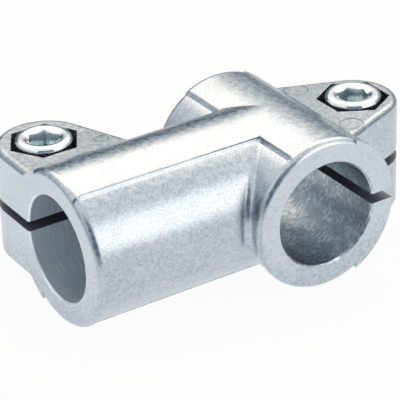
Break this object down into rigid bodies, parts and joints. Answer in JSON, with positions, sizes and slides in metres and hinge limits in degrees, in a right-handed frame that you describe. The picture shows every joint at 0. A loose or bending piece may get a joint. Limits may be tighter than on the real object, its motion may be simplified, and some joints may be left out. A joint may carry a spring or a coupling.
{
  "type": "angle clamp",
  "caption": "Right-angle tube clamp: two slit barrels joined in a T, each with a clamping ear drawn together by a socket head screw and a captive hexagon nut.",
  "frame": {"origin": "where the axes of the two bores cross", "axes": "+Y along the cross bore, -X out of the long bore's mouth, +Z along the screws towards their heads"},
  "size_m": [0.1094, 0.069, 0.044],
  "materials": {
    "casting": "blasted die casting, matt with a fine speckle",
    "screws": "bright zinc plate",
    "nuts": "bright zinc plate"
  },
  "bodies": {
    "clamp": {"clamp_body": "casting"},
    "long_screw": {"long_arm_screw": "screws"},
    "cross_screw": {"cross_arm_screw": "screws"},
    "long_nut": {"long_arm_nut": "nuts"},
    "cross_nut": {"cross_arm_nut": "nuts"}
  },
  "joints": [
    {"name": "long_screw_turn", "type": "hinge", "parent": "clamp", "child": "long_screw", "pos_m": [-0.05501, 0.0285, 0], "axis": [0, 0, 1], "range_deg": [0, 720]},
    {"name": "cross_screw_turn", "type": "hinge", "parent": "clamp", "child": "cross_screw", "pos_m": [0.0285, 0, 0], "axis": [0, 0, 1], "range_deg": [0, 720]},
    {"name": "long_nut_travel", "type": "slide", "parent": "clamp", "child": "long_nut", "axis": [0, 0, -1], "range_m": [0, 0.003]},
    {"name": "cross_nut_travel", "type": "slide", "parent": "clamp", "child": "cross_nut", "axis": [0, 0, -1], "range_m": [0, 0.003]}
  ],
  "couplings": [
    {"joint": "long_nut_travel", "follows": "long_screw_turn", "m_per_rad": 0.00023873},
    {"joint": "cross_nut_travel", "follows": "cross_screw_turn", "m_per_rad": 0.00023873}
  ]
}
